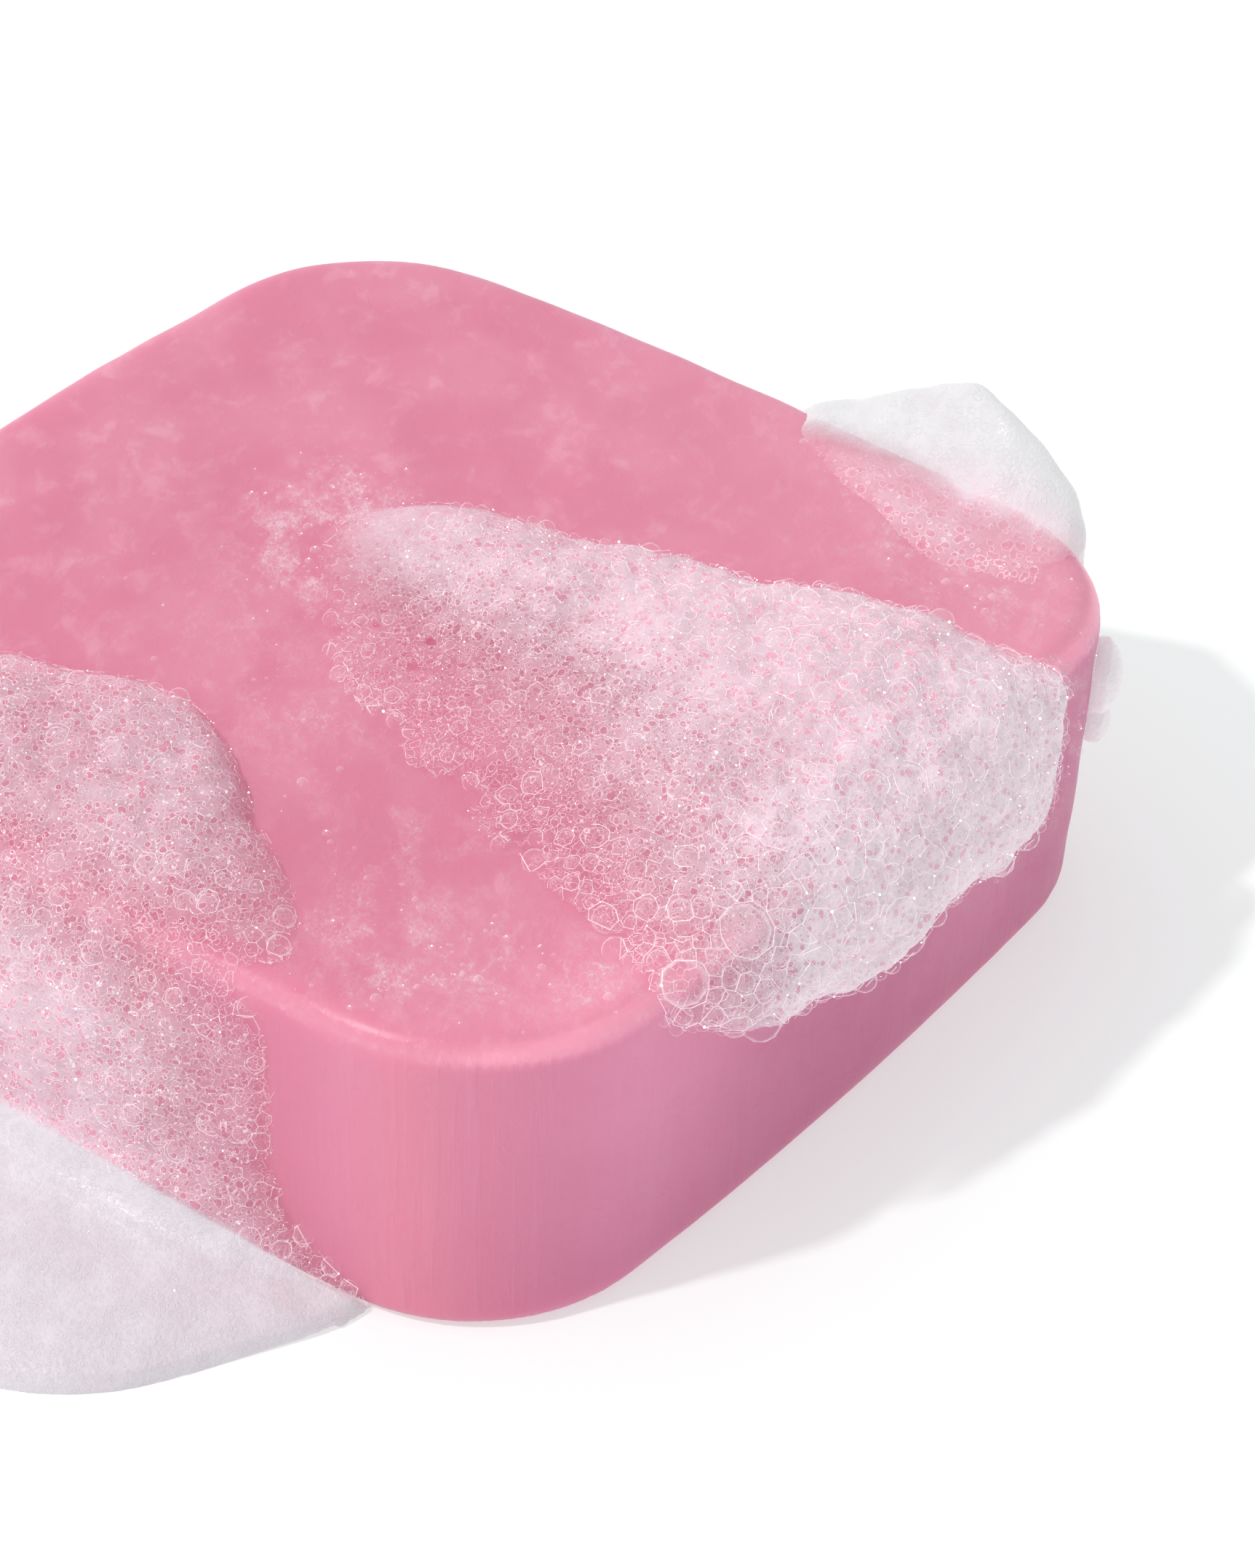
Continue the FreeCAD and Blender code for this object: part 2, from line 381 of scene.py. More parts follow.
@dataclass(frozen=True)
class MilkFinish:
    """The milky inside of lather: bubbles too fine to tell apart, with round clearer windows.

    Attributes:
        white, frost: the two tones of white lather.
        rosy, milk: the tones of thin and of dense lather elsewhere.
        deep, ring: what shows in the windows, and round them.
        dim, shine, glow: the two tones of the painted glow of white lather, standing in for the light it
            scatters, and the glow's strength; elsewhere the lather glows in its own tone.
        cell, soft: the size of its bubbles, and how softly their windows end.
        wander_size, wander: over what length and how far bubbles are pushed out of place.
        relief: how deep its windows seem.
    """

    white: Colour
    glow: float
    deep: Colour = (0.82, 0.37, 0.48)
    rosy: Colour = (0.74, 0.41, 0.51)
    milk: Colour = (0.68, 0.505, 0.57)
    frost: Colour = (0.90, 0.76, 0.83)
    ring: Colour = (0.97, 0.84, 0.90)
    dim: Colour = (0.94, 0.87, 0.90)
    shine: Colour = (1.0, 0.94, 0.97)
    cell: float = 0.30 * MM
    soft: float = 0.035
    wander_size: float = 0.5 * MM
    wander: float = 0.30 * MM
    patch_size: float = 1.8 * MM
    grain_size: float = 0.24 * MM
    relief: float = 0.10 * MM

    def material(self, name: str) -> Material:
        """Builds the finish from three attributes: how dense the lather is, how white, how calm.

        Args:
            name: the material's name.

        Returns:
            The material.
        """
        g = Graph(bpy.data.materials.new(name))
        dense = g.attribute("dense")
        white = g.attribute("white")
        lively = 1.0 - g.attribute("calm")
        place = g.drawn_out(g.place())
        noises = {"Vector": place, "Scale": 1.0 / self.wander_size}
        push = {0: g.node("ShaderNodeTexNoise", {}, noises, "Color"), "Scale": self.wander}
        warped = g.vector_math("ADD", {0: place, 1: g.vector_math("SCALE", push)})
        patch = g.clouds(self.patch_size, 3.0, 0.6)
        fuller = white * 0.06 + (patch - 0.5) * 0.40 + 0.02
        small = g.cells(self.cell, "F1", warped) + fuller
        large = g.cells(self.cell * 2.1, "F1", warped) + fuller * 0.8
        tiny = g.cells(self.cell * 0.5, "F1", warped) + fuller
        wide = large.ramp(0.31 + self.soft, 0.31 - self.soft)
        mid = small.ramp(0.40 + self.soft, 0.40 - self.soft)
        pin = tiny.ramp(0.42, 0.34)
        small_ring = small.ramp(0.38, 0.43) * small.ramp(0.52, 0.45)
        ring = small_ring + large.ramp(0.30, 0.33) * large.ramp(0.38, 0.35)
        hole = (wide + mid * 0.55 + pin * 0.22).clamped() * lively
        grain = g.clouds(self.grain_size, 1.0).ramp(0.3, 0.7)
        veil = dense * 1.12 + (patch - 0.5) * 0.5 + ring * lively * (0.46 - dense * 0.24) + grain * 0.06
        alpha = (veil * (1.0 - hole * (0.80 - dense * 0.70).clamped())).clamped() * 0.96
        body = (dense * 0.9 + (patch - 0.5) * 0.8 + grain * 0.12).clamped()
        mottle = (patch.ramp(0.40, 0.66) * 0.5 + ring * 0.4 + grain * 0.2).clamped()
        tone = g.coats(self.rosy, (body, self.milk), (white, g.blend(mottle, self.white, self.frost)),
                       (hole * (0.92 - white * 0.30), self.deep),
                       ((ring * lively * 0.5).clamped(), self.ring))
        height = ring * 0.5 - hole * 0.4 + grain * 0.3
        # Painted light: the lather glows in its own tone, and in dim and shine where it is white.
        shine = g.blend(white * (1.0 - hole), tone, g.blend(mottle, self.dim, self.shine))
        return g.finish(Base_Color=tone, Alpha=alpha, Roughness=0.35 + grain * 0.2,
                        Normal=g.bump(height, self.relief, 0.55), Specular_IOR_Level=0.4,
                        Emission_Color=shine, Emission_Strength=self.glow)


@dataclass(frozen=True)
class ThreadFinish:
    """The liquid threads where bubbles meet: pale, fine and wet, with a painted glow standing in for the
    light that gathers in them.
    """

    pale: Colour = (0.97, 0.88, 0.93)
    rosy: Colour = (0.92, 0.70, 0.79)
    glow: float = 0.30
    tint_size: float = 1.1 * MM
    clear_size: float = 0.5 * MM

    def material(self, name: str) -> Material:
        """Builds the finish.

        Args:
            name: the material's name.

        Returns:
            The material.
        """
        g = Graph(bpy.data.materials.new(name))
        vary = g.clouds(self.tint_size, 2.0, 0.6)
        colour = g.blend(vary.ramp(0.35, 0.65), self.rosy, self.pale)
        alpha = g.clouds(self.clear_size, 2.0, 0.6).ramp(0.3, 0.7) * 0.50 + 0.38
        # Painted light: the threads glow pale.
        return g.finish(Base_Color=colour, Alpha=alpha, Roughness=0.2, Specular_IOR_Level=0.8,
                        Emission_Color=self.pale, Emission_Strength=self.glow)


@dataclass(frozen=True)
class FilmFinish:
    """A bubble's film: it mirrors a little of the room and lets the rest through.

    Attributes:
        tint, glow: its colour, and how strongly it glows, a painted glow for the light scattered in the
            lather.
        facing, grazing: how much of it shows seen face on, and how much more seen edge on.
    """

    tint: Colour = (0.97, 0.86, 0.91)
    facing: float = 0.03
    grazing: float = 0.54
    glow: float = 0.16
    vary_size: float = 0.45 * MM

    def material(self, name: str) -> Material:
        """Builds the finish.

        Args:
            name: the material's name.

        Returns:
            The material.
        """
        g = Graph(bpy.data.materials.new(name))
        slant = g.node("ShaderNodeLayerWeight", {}, {"Blend": 0.5}, "Facing")
        vary = g.clouds(self.vary_size, 2.0, 0.6)
        brim = slant.ramp(0.46, 0.80) * (0.40 + vary.ramp(0.3, 0.7) * 0.60)
        alpha = brim * self.grazing + self.facing + vary.ramp(0.55, 0.75) * 0.05
        return g.finish(Base_Color=self.tint, Alpha=alpha.clamped(), Specular_IOR_Level=1.0,
                        Roughness=0.06 + vary.ramp(0.62, 0.40) * 0.34, Emission_Color=self.tint,
                        Emission_Strength=self.glow)


@dataclass(frozen=True)
class GlintFinish:
    """Beads of liquid at the junctions, glowing white as painted sparkles, the highlights where light
    gathers.
    """

    white: Colour = (1.0, 0.97, 0.985)
    pale: Colour = (0.96, 0.9, 0.94)
    glow: float = 1.5
    vary_size: float = 0.7 * MM

    def material(self, name: str) -> Material:
        """Builds the finish.

        Args:
            name: the material's name.

        Returns:
            The material.
        """
        g = Graph(bpy.data.materials.new(name))
        vary = g.clouds(self.vary_size, 1.0)
        return g.finish(Base_Color=g.blend(vary, self.white, self.pale), Roughness=0.15,
                        Specular_IOR_Level=1.0, Emission_Color=self.white, Emission_Strength=self.glow)


@dataclass(frozen=True)
class ResidueFinish:
    """What drying lather leaves on the cake: a blotchy veil with finer flecks in it."""

    pale: Colour = (0.86, 0.55, 0.64)
    bright: Colour = (0.93, 0.70, 0.78)
    strongest: float = 0.60
    blot_size: float = 2.2 * MM
    fleck_size: float = 0.5 * MM
    mesh_size: float = 0.36 * MM
    dot_size: float = 0.42 * MM
    relief: float = 0.08 * MM

    def material(self, name: str) -> Material:
        """Builds the finish; the residue attribute says how much of it lies at a point.

        Args:
            name: the material's name.

        Returns:
            The material.
        """
        g = Graph(bpy.data.materials.new(name))
        much = g.attribute("residue")
        flat = g.drawn_out(g.place())
        blot = g.clouds(self.blot_size, 4.0, 0.65, flat, 0.3).ramp(0.43, 0.66)
        fleck = g.clouds(self.fleck_size, 3.0, 0.65, flat, 0.3).ramp(0.46, 0.68)
        mesh = g.cells(self.mesh_size, "DISTANCE_TO_EDGE", flat).ramp(0.11, 0.03)
        dots = g.cells(self.dot_size, "F1", flat).ramp(0.26, 0.14)
        veil = blot * (0.32 + fleck * 0.50 + mesh * 0.40 + dots * 0.50) + fleck * 0.10
        alpha = (much * veil).clamped() * self.strongest
        colour = g.blend((dots * 0.9 + fleck * 0.4 + mesh * 0.3).clamped(), self.pale, self.bright)
        return g.finish(Base_Color=colour, Alpha=alpha, Roughness=0.3 + fleck * 0.2,
                        Normal=g.bump(fleck + dots, self.relief, 0.5))


@dataclass(frozen=True)
class FloorFinish:
    """Plain pale paper that is lit a little from below, as on a light table."""

    white: Colour = (0.525, 0.565, 0.56)
    grey: Colour = (0.52, 0.56, 0.555)
    glow: float = 0.50
    vary_size: float = 30.0 * MM

    def material(self, name: str) -> Material:
        """Builds the finish.

        Args:
            name: the material's name.

        Returns:
            The material.
        """
        g = Graph(bpy.data.materials.new(name))
        vary = g.clouds(self.vary_size, 1.0)
        return g.finish(Base_Color=g.blend(vary, self.white, self.grey), Roughness=0.8,
                        Specular_IOR_Level=0.2, Emission_Color=(1.0, 1.0, 1.0),
                        Emission_Strength=self.glow)


Finish = Union[CakeFinish, MilkFinish, ThreadFinish, FilmFinish, GlintFinish, ResidueFinish, FloorFinish]


# ---- mesh helpers


def placed(name: str, data: bpy.types.ID) -> Piece:
    """Makes an object and links it to the scene.

    Args:
        name: its name.
        data: the mesh, light or camera.

    Returns:
        The object.
    """
    made = bpy.data.objects.new(name, data)
    bpy.context.scene.collection.objects.link(made)
    return made


def object_from(name: str, points: Array, faces: Array, smooth: bool = True) -> Piece:
    """Makes an object from arrays, with nothing of it below the floor.

    Args:
        name: its name.
        points: its corners, in metres.
        faces: rows of three or four corners each.
        smooth: whether it is shaded smooth.

    Returns:
        The object, linked to the scene.
    """
    points = points.copy()
    points[:, 2] = np.maximum(points[:, 2], 0.0)
    mesh = bpy.data.meshes.new(name)
    count, sides = faces.shape
    mesh.vertices.add(len(points))
    mesh.vertices.foreach_set("co", np.ascontiguousarray(points, dtype=np.float32).ravel())
    mesh.loops.add(count * sides)
    mesh.loops.foreach_set("vertex_index", np.ascontiguousarray(faces, dtype=np.int32).ravel())
    mesh.polygons.add(count)
    mesh.polygons.foreach_set("loop_start", np.arange(0, count * sides, sides, dtype=np.int32))
    mesh.polygons.foreach_set("use_smooth", np.full(count, smooth))
    mesh.update(calc_edges=True)
    mesh.validate()
    return placed(name, mesh)


def read(items: Any, name: str, kind: type) -> Array:
    """Reads a property of three numbers from each of a mesh's items.

    Args:
        items: the mesh's corners, triangles or other items.
        name: the property.
        kind: the type of its numbers.

    Returns:
        A row of three for each item.
    """
    flat = np.empty(len(items) * 3, dtype=kind)
    items.foreach_get(name, flat)
    return flat.reshape(-1, 3)


def points_of(mesh: bpy.types.Mesh) -> Array:
    """A mesh's corners as an array."""
    return read(mesh.vertices, "co", np.float32).astype(np.float64)


def triangles_of(mesh: bpy.types.Mesh) -> Array:
    """A mesh's faces as triangles."""
    mesh.calc_loop_triangles()
    return read(mesh.loop_triangles, "vertices", np.int32).astype(np.int64)


def part_of(triangles: Array, keep: Array) -> tuple[Array, Array]:
    """The corners that some of the triangles use, and those triangles renumbered to them."""
    used, packed = np.unique(triangles[keep], return_inverse=True)
    return used, packed.reshape(-1, 3)


def lay_out(piece: Piece) -> None:
    """Gives each face its own square of the bake map, so that no slow unwrapping is needed.

    Args:
        piece: the piece, all of whose faces have as many corners.
    """
    mesh = piece.data
    low, high = 0.2, 0.8
    triangle = [(low, low), (high, low), (low, high)]
    quad = [(low, low), (high, low), (high, high), (low, high)]
    corners = np.array(triangle if mesh.polygons[0].loop_total == 3 else quad)
    row = math.ceil(math.sqrt(len(mesh.polygons)))
    index = np.arange(len(mesh.polygons))
    square = np.stack([index % row, index // row], axis=1)[:, None, :]
    layer = mesh.uv_layers.new(name="OFBake")
    layer.data.foreach_set("uv", ((square + corners) / row).astype(np.float32).ravel())


def dress(piece: Piece, finish: Finish, name: str = "") -> Piece:
    """Gives a piece its finish, as a material of its own.

    Args:
        piece: the piece.
        finish: the finish.
        name: the material's name, the piece's where it is empty.

    Returns:
        The piece.
    """
    piece.data.materials.clear()
    piece.data.materials.append(finish.material(name or piece.name))
    return piece


def keep_on(piece: Piece, **numbers: Array) -> None:
    """Keeps named numbers for each corner of a piece, for its finish to read.

    Args:
        piece: the piece.
        numbers: an array for each name.
    """
    for name, values in numbers.items():
        layer = piece.data.attributes.new(name, "FLOAT", "POINT")
        layer.data.foreach_set("value", np.ascontiguousarray(values, dtype=np.float32))


def let_light_through(piece: Piece) -> None:
    """Keeps a clear piece from shading what lies under it.

    Args:
        piece: the piece.
    """
    piece.visible_shadow = False
    piece.visible_diffuse = False
    piece.visible_glossy = False


def unit(vectors: Array) -> Array:
    """Vectors brought to length 1."""
    lengths = np.linalg.norm(vectors, axis=1, keepdims=True)
    return vectors / np.maximum(lengths, 1e-12)


def limited(values: Array) -> Array:
    """Values kept between 0 and 1."""
    return np.clip(values, 0.0, 1.0)


def rise(values: Array, start: float, span: float) -> Array:
    """How far values have come from a start over a span: 0 before it, 1 past it."""
    return limited((values - start) / span)


def across(axes: Array) -> tuple[Array, Array]:
    """Two directions square to each axis and to one another.

    Args:
        axes: the axes, of length 1.

    Returns:
        The two directions for each.
    """
    helper = np.where(np.abs(axes[:, 2:3]) < 0.9, [[0.0, 0.0, 1.0]], [[1.0, 0.0, 0.0]])
    side = unit(np.cross(axes, helper))
    return side, np.cross(axes, side)


def solid_copy(node: str, name: str) -> Piece:
    """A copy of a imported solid, with its corners welded, to work on.

    Args:
        node: the node whose solid it is.
        name: the copy's name.

    Returns:
        The copy.
    """
    work = bmesh.new()
    work.from_mesh(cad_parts[node].data)
    bmesh.ops.remove_doubles(work, verts=work.verts, dist=WELD)
    mesh = bpy.data.meshes.new(name)
    work.to_mesh(mesh)
    work.free()
    return placed(name, mesh)


def remeshed(piece: Piece, voxel: float, rounds: int) -> None:
    """Remeshes a piece evenly and softens it.

    Args:
        piece: the piece.
        voxel: the spacing of its new corners, in metres.
        rounds: how many smoothing rounds it gets.
    """
    remesh = piece.modifiers.new("even", "REMESH")
    remesh.mode = "VOXEL"
    remesh.voxel_size = voxel
    soften = piece.modifiers.new("soften", "SMOOTH")
    soften.factor = 0.5
    soften.iterations = rounds
    graph = bpy.context.evaluated_depsgraph_get()
    mesh = bpy.data.meshes.new_from_object(piece.evaluated_get(graph))
    piece.modifiers.clear()
    piece.data = mesh


def normals_of(points: Array, triangles: Array) -> Array:
    """Each corner's normal, from the triangles round it.

    Args:
        points: the mesh's corners.
        triangles: its triangles.

    Returns:
        The normals, of length 1.
    """
    a, b, c = (points[triangles[:, i]] for i in range(3))
    face = np.cross(b - a, c - a)
    total = np.zeros_like(points)
    for i in range(3):
        np.add.at(total, triangles[:, i], face)
    return unit(total)


def drawn_out(points: Array) -> Array:
    """Points in the space that is squeezed along the way to the camera."""
    return points - (1.0 - DEPTH_SHARE) * (points @ FRONT)[:, None] * FRONT


def rumple(points: Array, size: float, seed: float) -> Array:
    """Soft noise between -1 and 1 at points, with features of a size in metres."""
    offset = Vector((seed, 2.3 * seed, -1.7 * seed))
    return np.array([noise.noise(Vector(p) / size + offset) for p in points])


# ---- the cake


@dataclass(frozen=True)
class Patch:
    """A soft round patch, seen from above, where something is more or less: in mm, and how much."""

    x: float
    y: float
    reach: float
    amount: float

    def at(self, points: Array) -> Array:
        """The patch's amount at points, fading with distance."""
        away = (points[:, 0] - self.x * MM) ** 2 + (points[:, 1] - self.y * MM) ** 2
        return self.amount * np.exp(-away / (self.reach * MM) ** 2)


Patches = tuple[Patch, ...]


def patches(*rows: tuple[float, float, float, float]) -> Patches:
    """Patches from rows of x, y, reach (in mm) and amount."""
    return tuple(Patch(*row) for row in rows)


def summed(spots: Patches, points: Array) -> Array:
    """What several patches amount to at points.

    Args:
        spots: the patches.
        points: the points.

    Returns:
        The sum at each point.
    """
    total = np.zeros(len(points))
    for patch in spots:
        total += patch.at(points)
    return total


@dataclass
class Cake:
    """The pressed cake, softened from its solid, with the slight waves of a bar in use.

    Attributes:
        voxel, rounds: how finely it is remeshed, and how often smoothed.
        wave, ripple: how high its slow and its quick waves are, with their sizes.
        still: the height over which the waves set in above the floor.
        foot: the height of the band of painted shade at its foot, darker towards the floor.
        rim_from, rim_span: the height at which its paler rim sets in, and the span that it takes.
        gleam_from, gleam_span: the same for the painted gleams on its sides.
        turn: how far from the diagonal the painted gleam on the rim sets in.
        edge_slope, edge_width: how steep the skin is along the rim's thin painted highlight, and over
            what
        span of steepness that highlight fades.
        blooms, gleams, dusks, swells: where it is painted paler as though lit more, where painted gleams
            glow, where painted shade darkens it, and where it is fuller.
    """

    node: str = "shampoo_bar"
    voxel: float = 0.40 * MM
    rounds: int = 5
    wave: float = 0.30 * MM
    wave_size: float = 13.0 * MM
    ripple: float = 0.07 * MM
    ripple_size: float = 3.6 * MM
    still: float = 3.0 * MM
    foot: float = 9.0 * MM
    rim_from: float = 12.0 * MM
    rim_span: float = 3.0 * MM
    gleam_from: float = 2.0 * MM
    gleam_span: float = 12.0 * MM
    turn: float = 6.0 * MM
    edge_slope: float = 0.40
    edge_width: float = 0.13
    blooms: Patches = patches((27, 22, 14, 0.30), (6, 28, 13, 0.22), (24, -26, 12, 0.10))
    gleams: Patches = patches((33.5, -19, 8, 0.65), (28, -26, 8, 0.18), (33, 12, 7, 0.55))
    dusks: Patches = patches((15.5, -31, 4.5, 0.60), (27, -29, 4, 0.35), (9.5, -21, 5, 0.75))
    swells: Patches = patches((-22, 26, 20, 0.45), (-32, 0, 16, 0.25), (4, 30, 12, 0.2))
    finish: CakeFinish = field(default_factory=CakeFinish)

    def build(self) -> Piece:
        """Builds and dresses the cake.

        Returns:
            The piece.
        """
        piece = solid_copy(self.node, "cake")
        remeshed(piece, self.voxel, self.rounds)
        points = points_of(piece.data)
        normals = normals_of(points, triangles_of(piece.data))
        lift = self.wave * rumple(points, self.wave_size, 3.1)
        lift += self.ripple * rumple(points, self.ripple_size, 7.7)
        lift += MM * summed(self.swells, points)
        lift *= rise(points[:, 2], 0.0, self.still)
        points += normals * lift[:, None]
        piece.data.vertices.foreach_set("co", points.astype(np.float32).ravel())
        piece.data.shade_smooth()
        upright = limited(normals[:, 2])
        above = rise(points[:, 2], self.rim_from, self.rim_span)
        rim = above * limited(4.0 * upright * (1.0 - upright))
        # Painted gleam: a glow along the rim towards the right-hand corner and in patches on the walls.
        turned = rise(points[:, 0] + points[:, 1], -self.turn, 2.0 * self.turn)
        high = rise(points[:, 2], self.gleam_from, self.gleam_span)
        gleam = 1.6 * rim ** 3 * turned + summed(self.gleams, points) * (0.25 + 0.75 * high)
        # right marks the right wall, where the plum painted shade lies.
        keep_on(piece, top=rise(upright, 0.35, 0.55), right=limited(2.0 * normals[:, 0] - 1.0),
                bloom=limited(summed(self.blooms, points)), dusk=limited(summed(self.dusks, points)),
                foot=1.0 - rise(points[:, 2], 0.0, self.foot), rim=rim, gleam=limited(gleam),
                edge=above * np.exp(-((normals[:, 2] - self.edge_slope) / self.edge_width) ** 2))
        return dress(piece, self.finish, "pressed_shampoo")


# ---- the lather


@dataclass
class Skin:
    """The open outer skin of a heap, as arrays: what bubbles are laid out on."""

    points: Array
    triangles: Array
    normals: Array
    gaps: Array
    dense: Array
    white: Array
    calm: Array

    def shifted(self, distance: float) -> "Skin":
        """The skin moved along its normals."""
        return replace(self, points=self.points + self.normals * distance)

    def rim(self) -> Array:
        """Finds the skin's border edges.

        Returns:
            The edges, as pairs of corners.
        """
        edges = np.concatenate([self.triangles[:, [0, 1]], self.triangles[:, [1, 2]],
                                self.triangles[:, [2, 0]]])
        _, first, counts = np.unique(np.sort(edges, axis=1), axis=0, return_index=True,
                                     return_counts=True)
        return edges[first[counts == 1]]


@dataclass
class Net:
    """Bubbles laid out on a skin: their middles, junctions and the threads between junctions."""

    chosen: Array
    middles: Array
    normals: Array
    radii: Array
    junctions: Array
    junction_cells: Array
    threads: Array
    thread_sizes: Array


SizeRule = Callable[[Skin, np.random.Generator], Array]

# How near the middles of two bubbles may come, over the sum of their radii; how long a thread may
# be over its bubbles' radius; and within what depth of the rim a heap counts as shallow
CROWDING = 0.92
LONGEST = 3.2
SHALLOW = 0.8 * MM


def scatter(skin: Skin, size_rule: SizeRule, rng: np.random.Generator) -> tuple[Array, Array]:
    """Chooses bubble middles on a skin so that none crowds another.

    Args:
        skin: the skin.
        size_rule: gives each corner of the skin the radius that a bubble there would have.
        rng: the source of chance.

    Returns:
        The chosen corners and their radii.
    """
    radii = size_rule(skin, rng)
    reach = float(radii.max()) * 2.0
    order = rng.permutation(len(skin.points))
    grid: dict[tuple[int, int, int], list[int]] = {}
    squeezed = drawn_out(skin.points)
    points = squeezed.tolist()
    sizes = radii.tolist()
    keys = np.floor(squeezed / reach).astype(int).tolist()
    around = [(i, j, k) for i in (-1, 0, 1) for j in (-1, 0, 1) for k in (-1, 0, 1)]
    chosen: list[int] = []
    for index in order.tolist():
        x, y, z = points[index]
        own = sizes[index]
        cx, cy, cz = keys[index]
        free = True
        for i, j, k in around:
            for other in grid.get((cx + i, cy + j, cz + k), ()):
                ox, oy, oz = points[other]
                gap = CROWDING * (own + sizes[other])
                if (x - ox) ** 2 + (y - oy) ** 2 + (z - oz) ** 2 < gap * gap:
                    free = False
                    break
            if not free:
                break
        if free:
            chosen.append(index)
            grid.setdefault((cx, cy, cz), []).append(index)
    picked = np.array(chosen)
    return picked, radii[picked]


def lay_net(skin: Skin, size_rule: SizeRule, seed: int) -> Net:
    """Divides a skin among bubbles, larger ones taking more, and finds where three meet.

    Args:
        skin: the skin.
        size_rule: gives the bubbles' radii.
        seed: the seed of chance.

    Returns:
        The net.
    """
    rng = np.random.default_rng(seed)
    picked, radii = scatter(skin, size_rule, rng)
    squeezed = drawn_out(skin.points)
    tree = KDTree(len(picked))
    for index, point in enumerate(squeezed[picked]):
        tree.insert(point, index)
    tree.balance()
    owner = np.empty(len(skin.points), dtype=np.int64)
    weight = (radii ** 2).tolist()
    for index, point in enumerate(squeezed):
        near = tree.find_n(point, 7)
        owner[index] = min(near, key=lambda hit: hit[2] ** 2 - weight[hit[1]])[1]
    owned = owner[skin.triangles]
    meets = (owned[:, 0] != owned[:, 1]) & (owned[:, 1] != owned[:, 2]) & (owned[:, 0] != owned[:, 2])
    inner_cells = np.sort(owned[meets], axis=1)
    inner_places = skin.points[skin.triangles[meets]].mean(axis=1)
    rim = skin.rim()
    rim_owned = owner[rim]
    split = rim_owned[:, 0] != rim_owned[:, 1]
    outside = np.full((split.sum(), 1), -1)
    rim_cells = np.concatenate([outside, np.sort(rim_owned[split], axis=1)], axis=1)
    rim_places = skin.points[rim[split]].mean(axis=1)
    cells = np.concatenate([inner_cells, rim_cells])
    places = np.concatenate([inner_places, rim_places])
    keys, group = np.unique(cells, axis=0, return_inverse=True)
    group = group.ravel()
    sums = np.zeros((len(keys), 3))
    np.add.at(sums, group, places)
    counts = np.bincount(group, minlength=len(keys))
    junctions = sums / counts[:, None]
    last = keys[:, 2]
    heave = rng.uniform(-0.45, 0.35, len(keys)) * radii[last]
    heave *= rise(skin.gaps[picked][last], 0.0, SHALLOW)
    junctions = junctions + skin.normals[picked][last] * heave[:, None]
    threads, sizes = join_junctions(keys, junctions, radii)
    middles, ups = skin.points[picked], skin.normals[picked]
    return Net(picked, middles, ups, radii, junctions, keys, threads, sizes)


def join_junctions(keys: Array, junctions: Array, radii: Array) -> tuple[Array, Array]:
    """Finds the threads: pairs of junctions that share two bubbles.

    Args:
        keys: the three bubbles at each junction, -1 for the outside.
        junctions: the junctions' places.
        radii: the bubbles' radii.

    Returns:
        The pairs, and the mean radius of the bubbles at each.
    """
    pairs = np.concatenate([keys[:, [0, 1]], keys[:, [1, 2]], keys[:, [0, 2]]])
    index = np.tile(np.arange(len(keys)), 3)
    order = np.lexsort((pairs[:, 1], pairs[:, 0]))
    pairs, index = pairs[order], index[order]
    same = (pairs[1:] == pairs[:-1]).all(axis=1)
    first, second = index[:-1][same], index[1:][same]
    shared = pairs[:-1][same]
    spans = np.linalg.norm(junctions[first] - junctions[second], axis=1)
    own = np.where(shared[:, 0] < 0, radii[shared[:, 1]], radii[shared[:, 0]])
    sizes = 0.5 * (own + radii[shared[:, 1]])
    keep = spans < LONGEST * sizes
    return np.stack([first[keep], second[keep]], axis=1), sizes[keep]


# A thread's radius over that of its bubbles, and the least and greatest that it may be
THREAD_SHARE = 0.060
THREAD_LIMITS = (0.010 * MM, 0.027 * MM)


def thread_mesh(net: Net, chosen: Array, name: str) -> Piece:
    """Three-sided tubes along a net's threads.

    Args:
        net: the net.
        chosen: which of its threads are drawn.
        name: the piece's name.

    Returns:
        The piece.
    """
    start, end = net.junctions[net.threads[chosen, 0]], net.junctions[net.threads[chosen, 1]]
    along = unit(end - start)
    side, up = across(along)
    radius = np.clip(net.thread_sizes[chosen] * THREAD_SHARE, *THREAD_LIMITS)[:, None]
    rings = []
    for base in (start - along * radius, end + along * radius):
        for turn in range(3):
            angle = 2.0 * math.pi * turn / 3.0
            rings.append(base + radius * (math.cos(angle) * side + math.sin(angle) * up))
    points = np.stack(rings, axis=1).reshape(-1, 3)
    offset = 6 * np.arange(len(start))[:, None]
    quads = ((0, 1, 4, 3), (1, 2, 5, 4), (2, 0, 3, 5))
    faces = np.concatenate([offset + np.array(quad) for quad in quads])
    return object_from(name, points, faces)


def bead_mesh(places: Array, radii: Array, name: str) -> Piece:
    """Small eight-sided beads at places.

    Args:
        places: the beads' middles.
        radii: their radii.
        name: the piece's name.

    Returns:
        The piece.
    """
    corners = np.array([(1, 0, 0), (-1, 0, 0), (0, 1, 0), (0, -1, 0), (0, 0, 1), (0, 0, -1)], dtype=float)
    belt = (0, 2, 1, 3, 0)
    sides = [(a, b, 4) for a, b in zip(belt, belt[1:])] + [(b, a, 5) for a, b in zip(belt, belt[1:])]
    points = (places[:, None, :] + corners[None] * radii[:, None, None]).reshape(-1, 3)
    faces = (6 * np.arange(len(places))[:, None, None] + np.array(sides)[None]).reshape(-1, 3)
    return object_from(name, points, faces)


